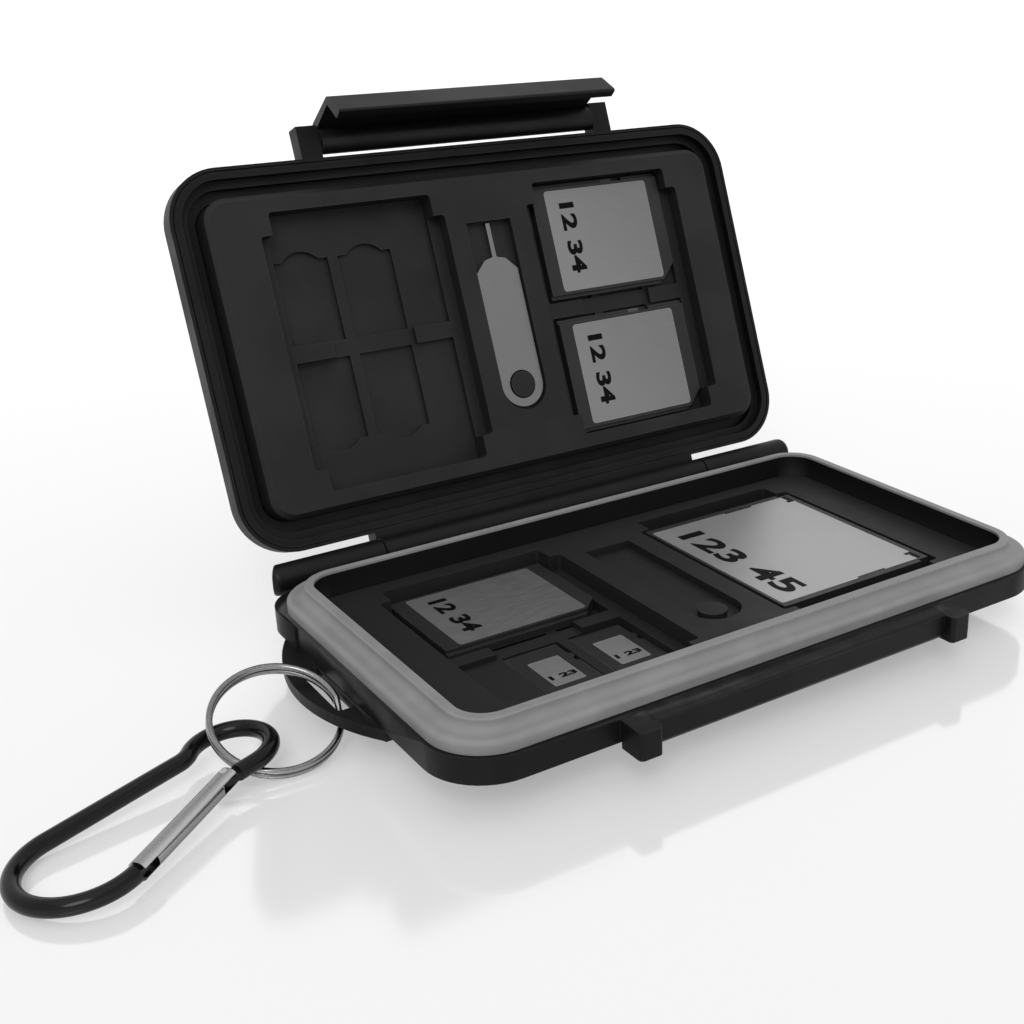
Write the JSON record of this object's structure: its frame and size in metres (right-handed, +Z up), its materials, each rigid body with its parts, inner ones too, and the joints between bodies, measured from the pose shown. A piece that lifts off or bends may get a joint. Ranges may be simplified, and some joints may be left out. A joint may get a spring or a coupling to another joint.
{
  "type": "memory card case",
  "caption": "Hinged hard case for memory cards with a rubber seal, snap latch, two card trays, a key ring and a carabiner.",
  "frame": {"origin": "centre of the flat underside of the base", "axes": "+X along the hinge to the right, +Y to the hinge at the back, +Z up out of the base"},
  "size_m": [0.1844, 0.1163, 0.0948],
  "materials": {
    "shell_black": "matte moulded",
    "tray_black": "matte moulded",
    "seal_grey": "matte",
    "pin_steel": "ground",
    "tool_steel": "satin",
    "card_black": "fine texture",
    "label_grey": "printed film",
    "contact_gold": "plated",
    "plate_silver": "brushed",
    "ring_steel": "polished",
    "hook_black": "anodised",
    "gate_silver": "satin"
  },
  "bodies": {
    "base": {"base_shell": "shell_black", "base_tray": "tray_black", "seal_ring": "seal_grey", "hinge_pin": "pin_steel"},
    "lid": {"lid_shell": "shell_black", "lid_tray": "tray_black", "latch_pin": "pin_steel"},
    "latch": {"latch": "shell_black"},
    "tool": {"sim_tool": "tool_steel"},
    "sd_a": {"sd_a_body": "card_black", "sd_a_label": "label_grey", "sd_a_contacts": "contact_gold"},
    "sd_a_lock": {"sd_a_switch": "label_grey"},
    "sd_b": {"sd_b_body": "card_black", "sd_b_label": "label_grey", "sd_b_contacts": "contact_gold"},
    "sd_b_lock": {"sd_b_switch": "label_grey"},
    "sd_c": {"sd_c_body": "card_black", "sd_c_label": "label_grey", "sd_c_contacts": "contact_gold"},
    "sd_c_lock": {"sd_c_switch": "label_grey"},
    "micro_a": {"micro_a_body": "card_black", "micro_a_label": "label_grey", "micro_a_contacts": "contact_gold"},
    "micro_b": {"micro_b_body": "card_black", "micro_b_label": "label_grey", "micro_b_contacts": "contact_gold"},
    "cf": {"cf_frame": "card_black", "cf_top_plate": "plate_silver", "cf_bottom_plate": "plate_silver", "cf_socket": "card_black"},
    "ring": {"key_ring": "ring_steel"},
    "carabiner": {"carabiner_body": "hook_black"},
    "gate": {"carabiner_gate": "gate_silver", "gate_rivet": "pin_steel", "gate_plunger": "pin_steel", "gate_spring": "pin_steel"}
  },
  "joints": [
    {"name": "lid_hinge", "type": "hinge", "parent": "base", "child": "lid", "pos_m": [0, 0.04025, 0.01237], "axis": [-1, 0, 0], "range_deg": [-110.57, 0]},
    {"name": "latch_hinge", "type": "hinge", "parent": "lid", "child": "latch", "pos_m": [0, 0.07149, 0.08593], "axis": [-1, 0, 0], "range_deg": [-20, 70]},
    {"name": "tool_lift", "type": "slide", "parent": "lid", "child": "tool", "axis": [0, -0.9362, 0.3514], "range_m": [0, 0.015]},
    {"name": "sd_a_lift", "type": "slide", "parent": "lid", "child": "sd_a", "axis": [0, -0.9362, 0.3514], "range_m": [0, 0.015]},
    {"name": "sd_b_lift", "type": "slide", "parent": "lid", "child": "sd_b", "axis": [0, -0.9362, 0.3514], "range_m": [0, 0.015]},
    {"name": "sd_c_lift", "type": "slide", "parent": "base", "child": "sd_c", "axis": [0, 0, 1], "range_m": [0, 0.015]},
    {"name": "micro_a_lift", "type": "slide", "parent": "base", "child": "micro_a", "axis": [0, 0, 1], "range_m": [0, 0.015]},
    {"name": "micro_b_lift", "type": "slide", "parent": "base", "child": "micro_b", "axis": [0, 0, 1], "range_m": [0, 0.015]},
    {"name": "cf_lift", "type": "slide", "parent": "base", "child": "cf", "axis": [0, 0, 1], "range_m": [0, 0.015]},
    {"name": "sd_a_lock_slide", "type": "slide", "parent": "sd_a", "child": "sd_a_lock", "axis": [1, 0, 0], "range_m": [0, 0.0024]},
    {"name": "sd_b_lock_slide", "type": "slide", "parent": "sd_b", "child": "sd_b_lock", "axis": [1, 0, 0], "range_m": [0, 0.0024]},
    {"name": "sd_c_lock_slide", "type": "slide", "parent": "sd_c", "child": "sd_c_lock", "axis": [1, 0, 0], "range_m": [0, 0.0024]},
    {"name": "ring_swing", "type": "hinge", "parent": "base", "child": "ring", "pos_m": [-0.065, 0.00325, 0.006], "axis": [0, 1, 0], "range_deg": [0, 9]},
    {"name": "carabiner_swing", "type": "hinge", "parent": "ring", "child": "carabiner", "pos_m": [-0.084, 0.002, 0.0046], "axis": [-0.295, 0.8601, 0.4161], "range_deg": [0, 15]},
    {"name": "gate_pivot", "type": "hinge", "parent": "carabiner", "child": "gate", "pos_m": [-0.08728, -0.00688, 0.00413], "axis": [0.0856, -0.0211, -0.9961], "range_deg": [0, 24], "stiffness_Nm_per_rad": 0.003, "springref_deg": -11.46}
  ]
}
